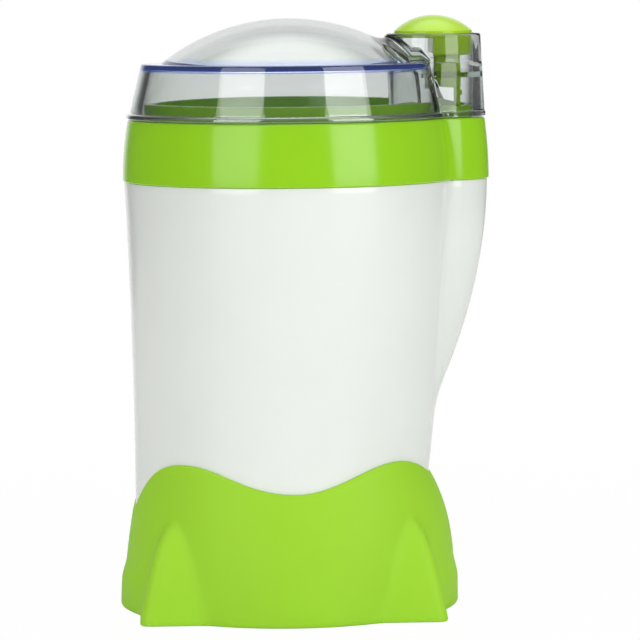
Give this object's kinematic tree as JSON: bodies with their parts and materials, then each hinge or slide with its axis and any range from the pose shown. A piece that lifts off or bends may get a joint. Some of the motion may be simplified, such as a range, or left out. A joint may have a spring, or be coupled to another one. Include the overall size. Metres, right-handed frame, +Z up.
{
  "type": "electric coffee grinder",
  "caption": "Upright electric blade coffee grinder with a clear domed lid, a push button in a tower at its side, a white body and a green footed base.",
  "frame": {"origin": "middle of the footprint box, on the table", "axes": "+Z up, +X towards the side lobe and the button, -Y to the front"},
  "size_m": [0.1136, 0.101, 0.1795],
  "materials": {
    "clear_plastic": "clear, slightly smoky moulding",
    "lime_gloss": "glossy lime green moulding",
    "white_gloss": "glossy white moulding",
    "lime_satin": "satin lime green moulding",
    "zinc_steel": "zinc plated",
    "black_rubber": "matt rubber",
    "bright_steel": "polished stainless",
    "black_plastic": "matt moulding",
    "laminations": "stacked sheet, oiled",
    "copper": "enamelled and turned copper",
    "natural_plastic": "uncoloured moulding",
    "bronze": "turned or pressed",
    "carbon": "pressed carbon",
    "red_plastic": "moulding",
    "wire_jacket": "soft wire jacket"
  },
  "bodies": {
    "stand": {"collar": "lime_gloss", "housing": "white_gloss", "base_skirt": "lime_satin", "base_plate": "lime_satin", "base_screws": "zinc_steel", "motor_bolts": "zinc_steel", "motor_screws": "zinc_steel", "switch_screws": "zinc_steel", "brush_springs": "zinc_steel", "rod_spring": "zinc_steel", "upper_bracket": "zinc_steel", "lower_bracket": "zinc_steel", "rubber_feet": "black_rubber", "cord_gland": "black_rubber", "bowl_gasket": "black_rubber", "shaft_seal": "black_rubber", "motor_mounts": "black_rubber", "grinding_bowl": "bright_steel", "microswitch": "black_plastic", "field_core": "laminations", "field_coils": "copper", "upper_bush": "bronze", "lower_bush": "bronze", "brush_holders": "bronze", "switch_terminals": "bronze", "carbon_brushes": "carbon", "lead_wires": "wire_jacket"},
    "lid": {"lid": "clear_plastic"},
    "button": {"push_button": "lime_gloss"},
    "rotor": {"blade": "bright_steel", "blade_hub": "black_plastic", "blade_nut": "bright_steel", "motor_shaft": "bright_steel", "armature_core": "laminations", "armature_winding": "copper", "commutator": "copper", "cooling_fan": "natural_plastic"},
    "rod": {"push_rod": "natural_plastic"},
    "lever": {"switch_lever": "bright_steel"},
    "plunger": {"switch_plunger": "red_plastic"}
  },
  "joints": [
    {"name": "lid_lift", "type": "slide", "parent": "stand", "child": "lid", "axis": [0, 0, 1], "range_m": [0, 0.045]},
    {"name": "button_press", "type": "slide", "parent": "lid", "child": "button", "axis": [0, 0, -1], "range_m": [0, 0.0025], "stiffness_N_per_m": 300, "springref_m": -0.003},
    {"name": "rod_press", "type": "slide", "parent": "stand", "child": "rod", "axis": [0, 0, -1], "range_m": [0, 0.0025], "deforming": ["rod_spring"]},
    {"name": "lever_swing", "type": "hinge", "parent": "stand", "child": "lever", "pos_m": [0.04004, -0.0078, 0.1054], "axis": [-1, 0, 0], "range_deg": [0, 17]},
    {"name": "plunger_press", "type": "slide", "parent": "stand", "child": "plunger", "axis": [0, 0, -1], "range_m": [0, 0.00125]},
    {"name": "rotor_spin", "type": "hinge", "parent": "stand", "child": "rotor", "pos_m": [-0.00411, 0, 0.118], "axis": [0, 0, 1], "continuous": true}
  ],
  "couplings": [
    {"joint": "rod_press", "follows": "button_press", "ratio": 1},
    {"joint": "lever_swing", "follows": "button_press", "rad_per_m": 118.6},
    {"joint": "plunger_press", "follows": "button_press", "ratio": 0.5}
  ]
}
